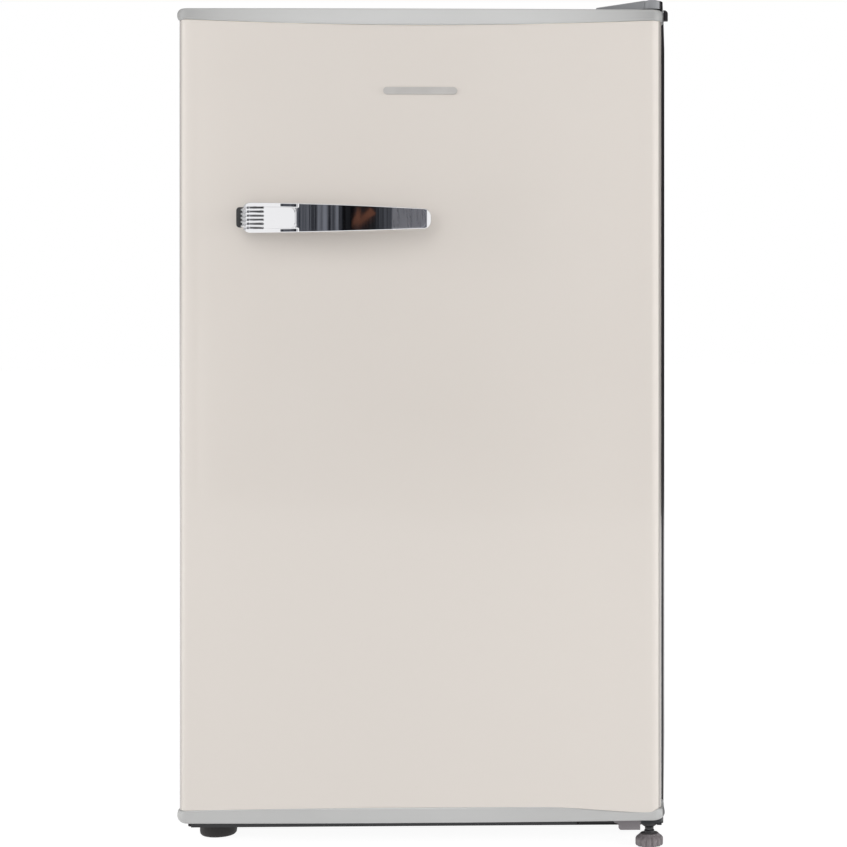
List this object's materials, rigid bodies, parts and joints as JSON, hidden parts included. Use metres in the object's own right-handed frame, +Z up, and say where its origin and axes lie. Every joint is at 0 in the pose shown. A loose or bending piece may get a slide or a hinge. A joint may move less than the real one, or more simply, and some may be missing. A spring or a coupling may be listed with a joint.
{
  "type": "mini fridge",
  "caption": "Upright compact refrigerator with a bowed cream door hinged on the right, silver end caps, a chrome bridge handle, an ice box, shelves and a crisper.",
  "frame": {"origin": "on the floor, in the middle of the overall width and depth", "axes": "+Z up, -Y out of the front of the door, +X to the right of someone facing the door, the hinge side"},
  "size_m": [0.475, 0.4865, 0.82],
  "materials": {
    "cabinet_paint": "cream satin paint",
    "door_paint": "cream gloss paint",
    "liner_plastic": "white moulded, soft gloss",
    "foam": "rigid foam, hidden",
    "galvanised_steel": "galvanised, matte",
    "black_steel": "black coated",
    "bracket_steel": "grey coated",
    "bright_steel": "zinc plated",
    "worktop_plastic": "cream, fine grain",
    "grey_plastic": "grey, satin",
    "black_rubber": "black, matte",
    "foot_plastic": "dark grey, matte",
    "compressor_paint": "black, semi-gloss",
    "black_plastic": "black, matte",
    "clear_plastic": "translucent white",
    "copper": "copper, dull",
    "shelf_glass": "clear toughened glass",
    "rollbond_aluminium": "roll-bonded, matte",
    "flap_plastic": "pale translucent",
    "drawer_plastic": "clear moulded",
    "lamp_plastic": "frosted white",
    "knob_plastic": "white",
    "silver_trim": "silver metallic, satin",
    "gasket_rubber": "grey, soft",
    "handle_chrome": "polished chrome plate",
    "handle_satin": "satin grey",
    "badge_grey": "grey print"
  },
  "bodies": {
    "cabinet": {"cabinet_shell": "cabinet_paint", "inner_liner": "liner_plastic", "insulation_foam": "foam", "back_panel": "galvanised_steel", "machine_room_plate": "galvanised_steel", "base_plate": "black_steel", "compressor_base": "black_steel", "worktop": "worktop_plastic", "front_left_foot": "black_rubber", "rear_feet": "black_rubber", "top_hinge_plate": "black_steel", "top_hinge_pin": "bright_steel", "hinge_screws": "bright_steel", "hinge_cover": "grey_plastic", "hinge_hole_plugs": "grey_plastic", "bottom_hinge_bracket": "bracket_steel", "bottom_hinge_pin": "bright_steel", "foot_nut": "black_steel", "compressor": "compressor_paint", "compressor_grommets": "black_rubber", "compressor_bolts": "bright_steel", "compressor_terminal_cover": "black_plastic", "evaporation_tray": "black_plastic", "drain_tube": "clear_plastic", "suction_tube": "copper", "discharge_tube": "copper", "filter_drier": "copper", "capillary_tube": "copper", "cable_gland": "black_plastic", "shelf_trims": "liner_plastic", "crisper_cover_glass": "shelf_glass", "shelf_lower_glass": "shelf_glass", "shelf_upper_glass": "shelf_glass", "ice_box": "rollbond_aluminium", "ice_box_frame": "liner_plastic", "ice_box_hangers": "liner_plastic", "drip_tray": "drawer_plastic", "thermostat_housing": "liner_plastic", "lamp_cover": "lamp_plastic", "lamp_bulb": "lamp_plastic"},
    "door": {"door_panel": "door_paint", "door_top_cap": "silver_trim", "door_bottom_cap": "silver_trim", "door_hinge_bushes": "black_plastic", "door_liner": "liner_plastic", "door_foam": "foam", "door_gasket": "gasket_rubber", "door_bin_lower": "drawer_plastic", "door_bin_middle": "drawer_plastic", "door_bin_upper": "drawer_plastic", "handle_lever": "handle_chrome", "handle_insert": "handle_satin", "handle_base": "black_plastic", "handle_post": "handle_chrome", "door_badge": "badge_grey"},
    "ice_box_flap": {"ice_box_door": "flap_plastic"},
    "thermostat_dial": {"thermostat_knob": "knob_plastic"},
    "crisper": {"crisper_drawer": "drawer_plastic"},
    "foot_screw": {"foot_stud": "bright_steel"},
    "foot_wheel": {"foot_knob": "foot_plastic"}
  },
  "joints": [
    {"name": "door_hinge", "type": "hinge", "parent": "cabinet", "child": "door", "pos_m": [0.2195, -0.167, 0.41], "axis": [0, 0, 1], "range_deg": [0, 130]},
    {"name": "ice_box_flap_hinge", "type": "hinge", "parent": "cabinet", "child": "ice_box_flap", "pos_m": [0, 0, 0.741], "axis": [-1, 0, 0], "range_deg": [0, 85]},
    {"name": "thermostat_turn", "type": "hinge", "parent": "cabinet", "child": "thermostat_dial", "pos_m": [0.157, 0.002, 0.573], "axis": [-1, 0, 0], "range_deg": [0, 300]},
    {"name": "crisper_slide", "type": "slide", "parent": "cabinet", "child": "crisper", "axis": [0, -1, 0], "range_m": [0, 0.11]},
    {"name": "foot_height", "type": "slide", "parent": "cabinet", "child": "foot_screw", "axis": [0, 0, -1], "range_m": [0, 0.008]},
    {"name": "foot_turn", "type": "hinge", "parent": "foot_screw", "child": "foot_wheel", "pos_m": [0.2195, -0.167, 0.01], "axis": [0, 0, 1], "range_deg": [0, 2881]}
  ],
  "couplings": [
    {"joint": "crisper_slide", "follows": "door_hinge", "m_per_rad": 0.048},
    {"joint": "foot_turn", "follows": "foot_height", "rad_per_m": 6283.2}
  ]
}
